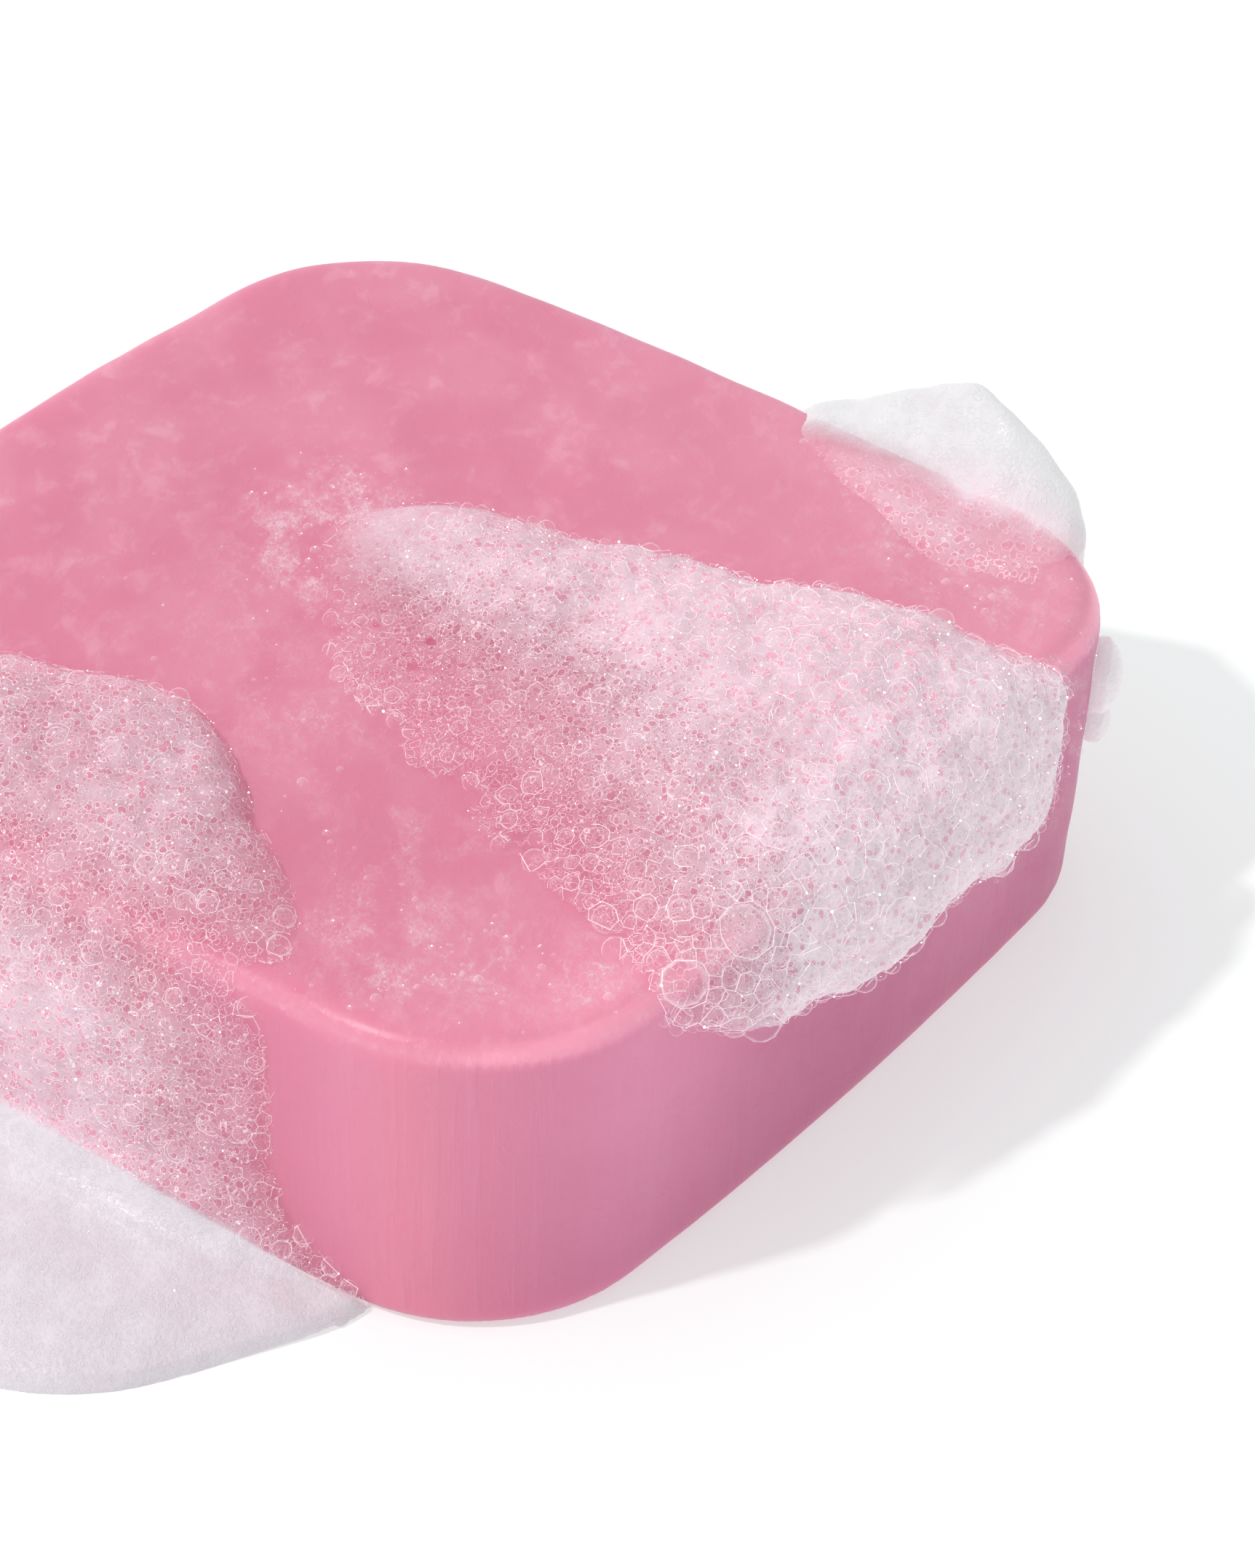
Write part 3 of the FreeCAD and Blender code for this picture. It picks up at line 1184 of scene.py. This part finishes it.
# A dome's rings, from its foot up: how wide and how high each is, over the radius
DOME_RINGS = ((0.80, -0.60), (1.0, 0.0), (0.87, 0.50), (0.50, 0.87))
DOME_SIDES = 9


def dome_mesh(places: Array, ups: Array, radii: Array, name: str) -> Piece:
    """A low dome, with a small foot, at each place.

    Args:
        places: the domes' feet.
        ups: their axes.
        radii: their radii.
        name: the piece's name.

    Returns:
        The piece.
    """
    side, along = across(ups)
    size = radii[:, None]
    corners = []
    for wide, tall in DOME_RINGS:
        for step in range(DOME_SIDES):
            angle = 2.0 * math.pi * step / DOME_SIDES
            flat = math.cos(angle) * side + math.sin(angle) * along
            corners.append(places + size * (wide * flat + tall * ups))
    corners.append(places + size * ups)
    points = np.stack(corners, axis=1).reshape(-1, 3)
    top = len(DOME_RINGS) * DOME_SIDES
    faces = []
    for low in range(0, top, DOME_SIDES):
        for step in range(DOME_SIDES):
            a, b = low + step, low + (step + 1) % DOME_SIDES
            over_a, over_b = a + DOME_SIDES, b + DOME_SIDES
            faces += [(a, b, over_b), (a, over_b, over_a)] if over_a < top else [(a, b, top)]
    offset = (top + 1) * np.arange(len(places))[:, None, None]
    return object_from(name, points, (offset + np.array(faces)[None]).reshape(-1, 3))


@dataclass
class Heap:
    """One heap of lather, grown on the skin of its solid.

    Attributes:
        whiteness, calmness: how white and how free of bubbles the lather is at points.
        milk, threads, film, glint: the finishes of its parts.
        shore, ragged, nibble: how far its edge is eaten away, and in large and small bites of
            what sizes.
        layers, finer: how many nets of threads it has, the outer with bubbles and glints, and how
            much finer the inner is.
        bubble, coarse: a bubble's radius, and where bubbles are larger or smaller.
        density, full_depth, fade: where the milk is fuller or thinner, the depth at which it is
            full, and the depth over which it sets in at the edge.
        voxel, rounds: how finely its skin is remeshed, and how often smoothed.
        lump, lump_size, lump_onset: how high and wide its lumps are, and the depth over which
            they set in.
        swell, onset, swell_onset: how far calm lather swells, how soon, and over what depth.
        thread_share, under: how many threads are drawn where the lather is milky, and how many
            of the inner net's are.
        finest, finest_span: the bubble radius above which more threads are drawn, and over what
            span of radii.
        glint_share, glint_size, glint_limits: how many junctions have a glint, and its radius.
        clear_size: the radius from which a bubble shows as a round film.
        brim: how much larger bubbles are at the edge.
        sink: how far the milk and the inner net lie under the skin.
        footing: the height under which the skin isn't pushed down.
    """

    node: str
    seed: int
    whiteness: Callable[[Array], Array]
    calmness: Callable[[Array], Array]
    milk: MilkFinish
    shore: float
    ragged: float = 1.5 * MM
    nibble: float = 0.6 * MM
    layers: int = 2
    finer: float = 0.35
    bubble: float = 0.27 * MM
    coarse: Patches = ()
    density: Patches = ()
    full_depth: float = 3.4 * MM
    fade: float = 1.0 * MM
    voxel: float = 0.16 * MM
    rounds: int = 3
    lump: float = 0.55 * MM
    lump_size: float = 4.2 * MM
    lump_onset: float = 1.3 * MM
    swell: float = 0.0
    onset: float = 1.0
    swell_onset: float = 0.6 * MM
    thread_share: float = 0.5
    under: float = 0.45
    finest: float = 0.11 * MM
    finest_span: float = 0.10 * MM
    glint_share: float = 0.20
    glint_size: float = 0.018 * MM
    glint_limits: tuple[float, float] = (0.009 * MM, 0.10 * MM)
    clear_size: float = 0.27 * MM
    brim: float = 0.25
    sink: float = 0.20 * MM
    footing: float = 2.0 * MM
    threads: ThreadFinish = field(default_factory=ThreadFinish)
    film: FilmFinish = field(default_factory=FilmFinish)
    glint: GlintFinish = field(default_factory=GlintFinish)

    def skin(self, cake: BVHTree) -> Skin:
        """Takes the outer skin of the solid, made lumpy, without what lies on cake or floor.

        Args:
            cake: the cake's surface.

        Returns:
            The skin.
        """
        piece = solid_copy(self.node, self.node + "_work")
        remeshed(piece, self.voxel, self.rounds)
        points = points_of(piece.data)
        triangles = triangles_of(piece.data)
        bpy.data.objects.remove(piece)
        normals = normals_of(points, triangles)
        gaps = np.array([cake.find_nearest(point)[3] for point in points])
        beyond = np.abs(points[:, 1]) > PAST_SIDE
        gaps = np.where(beyond, np.minimum(gaps, np.maximum(points[:, 2], 0.0)), gaps)
        lively = 1.0 - limited(self.calmness(points))
        lift = self.lump * (rumple(points, self.lump_size, 0.37 * self.seed) - 0.1)
        lift += 0.42 * self.lump * rumple(points, 0.42 * self.lump_size, 0.91 * self.seed)
        lift += lively * 0.24 * self.lump * rumple(points, 0.20 * self.lump_size, 1.71 * self.seed)
        lift *= rise(gaps, 0.0, self.lump_onset) * (0.4 + 0.6 * lively)
        swollen = limited(self.calmness(points) * self.onset)
        lift += self.swell * swollen * rise(gaps, 0.0, self.swell_onset)
        ways = normals.copy()
        low = points[:, 2] < self.footing
        ways[low, 2] = np.maximum(ways[low, 2], 0.0)
        points = points + ways * lift[:, None]
        shore = rumple(points, self.ragged, 2.9 * self.seed)
        shore += 0.6 * rumple(points, self.nibble, 0.7 * self.seed)
        least = np.where(beyond & (lively < 0.5), 0.35, 0.9) * self.voxel
        outer = gaps > least + self.shore * lively * limited(shore)
        used, triangles = part_of(triangles, outer[triangles].all(axis=1))
        points, gaps = points[used], gaps[used]
        white = limited(self.whiteness(points))
        calm = limited(self.calmness(points))
        dense = rise(gaps, 0.0, self.full_depth) ** 0.75
        dense = np.clip(dense + summed(self.density, points), 0.08, 1.0)
        dense *= rise(gaps, 0.0, self.fade)
        return Skin(points, triangles, normals[used], gaps, np.maximum(dense, white), white, calm)

    def size_rule(self, scale: float) -> SizeRule:
        """Gives bubble radii for one net: mostly fine, a few large, coarser where the heap is.

        Args:
            scale: the net's radii over the heap's.

        Returns:
            The rule.
        """
        def rule(skin: Skin, rng: np.random.Generator) -> Array:
            """Works out the radii at a skin's corners.

            Args:
                skin: the skin.
                rng: the source of chance.

            Returns:
                The radii.
            """
            spread = np.clip(np.exp(rng.normal(0.0, 0.6, len(skin.points))), 0.45, 2.5)
            brim = 1.0 + self.brim * np.exp(-skin.gaps / SHALLOW)
            return self.bubble * scale * spread * brim * (1.0 + summed(self.coarse, skin.points))
        return rule

    def build(self, cake: BVHTree) -> list[Piece]:
        """Builds and dresses the heap.

        Args:
            cake: the cake's surface.

        Returns:
            Its pieces.
        """
        skin = self.skin(cake)
        body = object_from(self.node + "_milk", skin.shifted(-self.sink).points, skin.triangles)
        keep_on(body, dense=skin.dense, white=skin.white, calm=skin.calm)
        clear = []
        for number in range(self.layers):
            below = skin.shifted(-self.sink * number)
            net = lay_net(below, self.size_rule(1.0 - self.finer * number), self.seed + 101 * number)
            if not number:
                clear += [self.bubbles(net, skin), self.glints(net, skin)]
            clear.append(self.strands(net, skin, number))
        for piece in clear:
            let_light_through(piece)
        return [dress(body, self.milk), *clear]

    def strands(self, net: Net, skin: Skin, number: int) -> Piece:
        """Draws a net's threads: all where the lather is thin, some where it is milky.

        Args:
            net: the net.
            skin: the skin that it lies on.
            number: which net it is, 0 the outer.

        Returns:
            The piece.
        """
        rng = np.random.default_rng(self.seed + 31 + number)
        corner = net.chosen[net.junction_cells[net.threads[:, 0], 2]]
        coarse = summed(self.coarse, skin.points[corner])
        thin = limited(1.0 - skin.dense[corner] * 1.1 + coarse * 0.5)
        share = (self.thread_share + (1.0 - self.thread_share) * thin) * (1.0 - skin.calm[corner]) ** 2
        share[net.junction_cells[net.threads[:, 0], 0] < 0] *= 0.45
        share *= np.clip((net.thread_sizes - self.finest) / self.finest_span, 0.08, 1.0)
        share *= self.under if number else 1.0
        chosen = rng.random(len(corner)) < share
        return dress(thread_mesh(net, chosen, f"{self.node}_threads_{number}"), self.threads)

    def bubbles(self, net: Net, skin: Skin) -> Piece:
        """Stands round clear bubbles half out of the skin, where a net's bubbles are large.

        Args:
            net: the net.
            skin: the skin that it lies on.

        Returns:
            The piece.
        """
        large = (net.radii > self.clear_size) & (skin.calm[net.chosen] < 0.5)
        radii = net.radii[large] * 1.08
        places = net.middles[large] - net.normals[large] * radii[:, None] * 0.45
        domes = dome_mesh(places, net.normals[large], radii, self.node + "_bubbles")
        return dress(domes, self.film)

    def glints(self, net: Net, skin: Skin) -> Piece:
        """Puts beads of liquid at some of a net's junctions, glowing as painted sparkles.

        Args:
            net: the net.
            skin: the skin that it lies on.

        Returns:
            The piece.
        """
        rng = np.random.default_rng(self.seed + 7)
        lively = 1.0 - skin.calm[net.chosen[net.junction_cells[:, 2]]] * 0.97
        picked = np.flatnonzero(rng.random(len(net.junctions)) < self.glint_share * lively)
        near = net.chosen[net.junction_cells[picked, 2]]
        size = self.glint_size * np.clip(1.0 + summed(self.coarse, skin.points[near]), 0.7, 1.5)
        radii = np.clip(size * np.exp(rng.normal(0.0, 0.65, len(picked))), *self.glint_limits)
        return dress(bead_mesh(net.junctions[picked], radii, self.node + "_glints"), self.glint)


@dataclass
class Residue:
    """What the lather leaves round its heaps: a blotchy veil on the cake and loose small bubbles.

    Attributes:
        spots, wall_spots: where residue lies on the top, and where on the right wall.
        thickest: the most that can lie at a point.
        top_from, top_span: the height at which it sets in on the top, and the span that it takes.
        wall_from, wall_span: the same for the wall.
        off: how far the veil lies off the cake.
        loose, stray: how many bubbles there are, and how far they stray from their corners.
        crowd_size: how wide the crowds are that they stand in.
        bubble, bubble_limits: a bubble's radius, and the least and greatest that it may be.
        glint_share, glint_limits: how many bubbles have a glint, and its radius.
    """

    node: str = "lather_film"
    seed: int = 61
    spots: Patches = patches(
        (17.4, -24, 4.6, 1.0), (22, -23, 4, 0.7), (10.8, -17.8, 2.4, 0.6), (27.4, -18.6, 3.4, 0.9),
        (3.5, -12.7, 4, 0.45), (14.5, -15, 3, 0.4), (0, -10, 6, 0.22), (-8, -8, 8, 0.10),
        (11, 26.5, 3, 0.6), (18, 22, 4, 0.9), (24, 21, 3.5, 0.8), (-10, 4, 4, 1.7),
        (-6.5, -0.5, 3.8, 1.3))
    wall_spots: Patches = patches((30.5, 15.5, 6.5, 1.3))
    thickest: float = 1.7
    top_from: float = 15.5 * MM
    top_span: float = 1.5 * MM
    wall_from: float = 5.0 * MM
    wall_span: float = 6.0 * MM
    off: float = 0.04 * MM
    loose: float = 0.45
    stray: float = 0.18 * MM
    crowd_size: float = 2.2 * MM
    bubble: float = 0.085 * MM
    bubble_limits: tuple[float, float] = (0.04 * MM, 0.32 * MM)
    glint_share: float = 0.22
    glint_limits: tuple[float, float] = (0.016 * MM, 0.05 * MM)
    film: FilmFinish = FilmFinish(facing=0.10, grazing=0.75)

    def build(self, cake: Piece) -> list[Piece]:
        """Builds and dresses the residue.

        Args:
            cake: the cake, on whose top it lies.

        Returns:
            Its pieces.
        """
        points = points_of(cake.data)
        triangles = triangles_of(cake.data)
        normals = normals_of(points, triangles)
        much = np.clip(summed(self.spots, points), 0.0, self.thickest)
        much *= rise(points[:, 2], self.top_from, self.top_span)
        much *= rise(normals[:, 2], 0.3, 0.5)
        aside = rise(points[:, 2], self.wall_from, self.wall_span) * limited(normals[:, 0])
        much = np.maximum(much, aside * summed(self.wall_spots, points))
        used, faces = part_of(triangles, (much[triangles] > 0.03).all(axis=1))
        veil = object_from("lather_veil", points[used] + normals[used] * self.off, faces)
        keep_on(veil, residue=much[used])
        dress(veil, ResidueFinish())
        made = [veil, *self.bubbles(points[used], normals[used], much[used])]
        for piece in made:
            let_light_through(piece)
        return made

    def bubbles(self, points: Array, normals: Array, much: Array) -> list[Piece]:
        """Loose small bubbles and the glints on them, where there is residue.

        Args:
            points: places on the cake.
            normals: which way is up at each.
            much: how much residue lies at each.

        Returns:
            The bubbles and their glints.
        """
        rng = np.random.default_rng(self.seed)
        crowd = limited(0.5 + 1.3 * rumple(points, self.crowd_size, 5.3)) ** 2
        here = rng.random(len(points)) < self.loose * np.minimum(much, 1.0) ** 1.3 * crowd
        places, ups = points[here], normals[here]
        places = places + rng.uniform(-self.stray, self.stray, places.shape) * np.array([1.0, 1.0, 0.0])
        radii = self.bubble * np.exp(rng.normal(0.0, 0.55, len(places)))
        radii = np.clip(radii, *self.bubble_limits)
        domes = dome_mesh(places, ups, radii, "loose_bubbles")
        lit = rng.random(len(places)) < self.glint_share
        spots = places[lit] + ups[lit] * radii[lit][:, None] * 0.9
        glints = bead_mesh(spots, np.clip(radii[lit] * 0.3, *self.glint_limits), "loose_glints")
        return [dress(domes, self.film), dress(glints, GlintFinish())]


# ---- the studio


# How often light may turn or pass through before it is given up
BOUNCES = {"transparent_max_bounces": 16, "max_bounces": 5, "diffuse_bounces": 2, "glossy_bounces": 2}


@dataclass
class Studio:
    """A pale floor, a pale room, a softened key from the left, and the camera.

    Attributes:
        camera_at, azimuth, elevation, roll: where the camera stands and how it is turned.
        lens, sensor, nearest: its focal length and sensor height in mm, and where it starts to see.
        key_towards, key_strength, key_angle, key_colour: the key light, as wide as its angle.
        sky, sky_lean, sky_colour: the room's light, and how much stronger it is on the left.
        floor_half: half the floor's width.
    """

    camera_at: tuple[float, float, float] = (130.416 * MM, -161.892 * MM, 161.930 * MM)
    azimuth: float = 0.6225
    elevation: float = 0.6396
    roll: float = 0.0362
    lens: float = 106.46
    sensor: float = 36.0
    nearest: float = 0.01
    key_towards: tuple[float, float, float] = (0.283, 0.546, -0.788)
    key_strength: float = 1.50
    key_angle: float = 3.2
    key_colour: Colour = (1.0, 0.985, 0.97)
    sky: float = 0.67
    sky_lean: float = 0.55
    sky_colour: Colour = (0.985, 0.985, 1.0)
    floor_half: float = 1.2

    def build(self) -> None:
        """Builds floor, lights and camera."""
        self.floor()
        self.lights()
        self.camera()

    def floor(self) -> None:
        """A wide flat floor at the height that the cake stands on."""
        half = self.floor_half
        corners = np.array([(-half, -half, 0), (half, -half, 0), (half, half, 0), (-half, half, 0)])
        floor = object_from("floor", corners, np.array([[0, 1, 2, 3]]), smooth=False)
        dress(floor, FloorFinish(), "pale_floor")

    def lights(self) -> None:
        """A key like a softened sun, and a pale room all round."""
        key = bpy.data.lights.new("key", "SUN")
        key.energy = self.key_strength
        key.angle = math.radians(self.key_angle)
        key.color = self.key_colour
        lamp = placed("key", key)
        lamp.location = Vector((0, 0, 1))
        lamp.rotation_euler = Vector(self.key_towards).to_track_quat("-Z", "Y").to_euler()
        world = bpy.data.worlds.new("room")
        room = Graph(world)
        way = room.node("ShaderNodeTexCoord", {}, {}, "Generated")
        lean = {0: way, 1: (-self.sky * self.sky_lean, 0.0, 0.0)}
        strength = room.vector_math("DOT_PRODUCT", lean, "Value") + self.sky
        light = {"Color": self.sky_colour, "Strength": strength}
        room.node("ShaderNodeOutputWorld", {}, {"Surface": room.node("ShaderNodeBackground", {}, light)})
        bpy.context.scene.world = world

    def camera(self) -> None:
        """The camera, looking down at the front corner with a slight roll."""
        az, el, roll = self.azimuth, self.elevation, self.roll
        back = Vector((math.sin(az) * math.cos(el), -math.cos(az) * math.cos(el), math.sin(el)))
        level = Vector((0, 0, 1)).cross(back).normalized()
        tilted = back.cross(level)
        right = math.cos(roll) * level + math.sin(roll) * tilted
        up = back.cross(right)
        lens = bpy.data.cameras.new("camera")
        lens.sensor_fit = "VERTICAL"
        lens.sensor_height = self.sensor
        lens.lens = self.lens
        lens.clip_start = self.nearest
        camera = placed("camera", lens)
        turn = Matrix((right, up, back)).transposed().to_4x4()
        camera.matrix_world = Matrix.Translation(Vector(self.camera_at)) @ turn
        scene = bpy.context.scene
        scene.camera = camera
        scene.view_settings.view_transform = "Standard"
        for name, count in BOUNCES.items():
            setattr(scene.cycles, name, count)


# ---- the whole


def attach(piece: Piece, node: str) -> None:
    """Ties a piece to the part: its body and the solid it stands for.

    Args:
        piece: the piece.
        node: the solid it stands for.
    """
    lay_out(piece)
    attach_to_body(piece, "root")
    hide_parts(node)
    LOG.info("%s stands for %s: %d faces", piece.name, node, len(piece.data.polygons))


# Where the lather changes: the place along an axis at which a change sets in, and its span
OVER_SIDE = (26.0 * MM, 7.0 * MM)
ABOVE_TIP = (-22.0 * MM, 14.0 * MM)
LEFT_END = (-1.5 * MM, 5.0 * MM)
PAST_EDGE = (26.5 * MM, 3.0 * MM)
NEAR_EDGE = (22.5 * MM, 6.0 * MM)

# The spill turns white in front of a plane that leans forward from the foot of the cake's front
# wall: how far from the middle it stands, how steep it is, and over what height the change goes
WALL_FOOT = 28.95 * MM
STEEP = 1.23
TURN_SPAN = 0.6 * MM


def white_over_side(points: Array) -> Array:
    """The mound whitens where it hangs over the cake's right side, but for its low tip: partly the
    thicker lather's own white, partly painted light on a side that faces away from the key.
    """
    over = rise(points[:, 0], *OVER_SIDE)
    return over * np.maximum(rise(points[:, 1], *ABOVE_TIP), 0.15)


def calm_at_left(points: Array) -> Array:
    """The mound's left end is soft and half dissolved."""
    return 0.55 * rise(-points[:, 0], *LEFT_END)


def white_on_floor(points: Array) -> Array:
    """The spill whitens where it lies on the floor; past 1, the further out, the more."""
    before = -points[:, 1] - WALL_FOOT
    return (STEEP * before - points[:, 2]) / TURN_SPAN + 0.5


def white_behind(points: Array) -> Array:
    """The heap at the back whitens beyond the cake's edge."""
    return rise(points[:, 1], *PAST_EDGE)


def calm_behind(points: Array) -> Array:
    """The heap at the back is half dissolved on the cake's top and calm beyond it."""
    return np.maximum(rise(points[:, 1], *NEAR_EDGE), 0.1)


def all_over(points: Array) -> Array:
    """The blobs at the corner are white and calm all over."""
    return np.ones(len(points))


def mound() -> Heap:
    """Sets up the large heap on the top that hangs over the right side.

    Returns:
        The heap.
    """
    milk = MilkFinish(white=(0.73, 0.59, 0.66), dim=(0.95, 0.84, 0.88), shine=(1.0, 0.91, 0.95),
                      glow=0.19)
    coarse = patches((33, -16, 6, 1.1), (34, -6, 7, 0.75), (26, 8, 8, 0.3), (4, -4, 12, -0.34),
                     (14, -14, 9, -0.15))
    density = patches((20, -12, 9, -0.46), (6, -12, 7, -0.28), (12.5, -4, 6, -0.25),
                      (-6, -1, 5, 0.14), (32, -18, 5, -0.35), (2, 8, 5, -0.1))
    return Heap("lather_mound", 11, white_over_side, calm_at_left, milk, shore=1.5 * MM,
                ragged=2.6 * MM, coarse=coarse, density=density, fade=2.0 * MM)


def spill() -> Heap:
    """Sets up the heap that runs down the front side and out over the floor.

    Returns:
        The heap.
    """
    milk = MilkFinish(white=(0.52, 0.47, 0.52), frost=(0.57, 0.54, 0.58), milk=(0.63, 0.48, 0.54),
                      rosy=(0.70, 0.38, 0.48), glow=0.25)
    density = patches((-3, -27, 6, -0.2), (8, -24, 5, -0.2), (-7, -21, 6, -0.30),
                      (11, -31, 6, -0.15))
    return Heap("lather_spill", 23, white_on_floor, white_on_floor, milk, shore=1.1 * MM,
                ragged=2.2 * MM, bubble=0.23 * MM, coarse=patches((8, -31, 8, 0.05)),
                density=density, swell=0.6 * MM, onset=0.15, thread_share=0.32, glint_share=0.10,
                clear_size=0.42 * MM, brim=0.0, threads=ThreadFinish(glow=0.20))


def back() -> Heap:
    """Sets up the thin lather at the back of the top and the mass that hangs behind it.

    Returns:
        The heap.
    """
    milk = MilkFinish(white=(0.34, 0.345, 0.355), frost=(0.38, 0.39, 0.40), milk=(0.60, 0.49, 0.54),
                      rosy=(0.72, 0.46, 0.54), dim=(0.95, 0.93, 0.94), shine=(1.0, 0.985, 0.995),
                      cell=0.50 * MM, soft=0.21, glow=0.46)
    return Heap("lather_back", 31, white_behind, calm_behind, milk, shore=0.5 * MM,
                ragged=3.0 * MM, layers=0, density=patches((20, 24, 12, 0.75)), fade=1.15 * MM,
                lump=0.9 * MM, swell=0.35 * MM)


def blobs() -> Heap:
    """Sets up the two small blobs at the right-hand corner.

    Returns:
        The heap.
    """
    milk = MilkFinish(white=(0.64, 0.59, 0.62), frost=(0.68, 0.64, 0.66), glow=0.34)
    return Heap("lather_corner", 43, all_over, all_over, milk, shore=0.2 * MM, layers=0,
                voxel=0.12 * MM, lump=0.15 * MM, swell=0.7 * MM)


def main() -> None:
    """Builds the cake, the lather and the studio in order."""
    logging.basicConfig(level=logging.INFO, format="%(message)s")
    bar = Cake()
    cake = bar.build()
    attach(cake, bar.node)
    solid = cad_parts[bar.node].data
    surface = BVHTree.FromPolygons(points_of(solid).tolist(), triangles_of(solid).tolist())
    for heap in (mound(), spill(), back(), blobs()):
        for piece in heap.build(surface):
            attach(piece, heap.node)
    residue = Residue()
    for piece in residue.build(cake):
        attach(piece, residue.node)
    Studio().build()


if __name__ == "__main__":
    main()
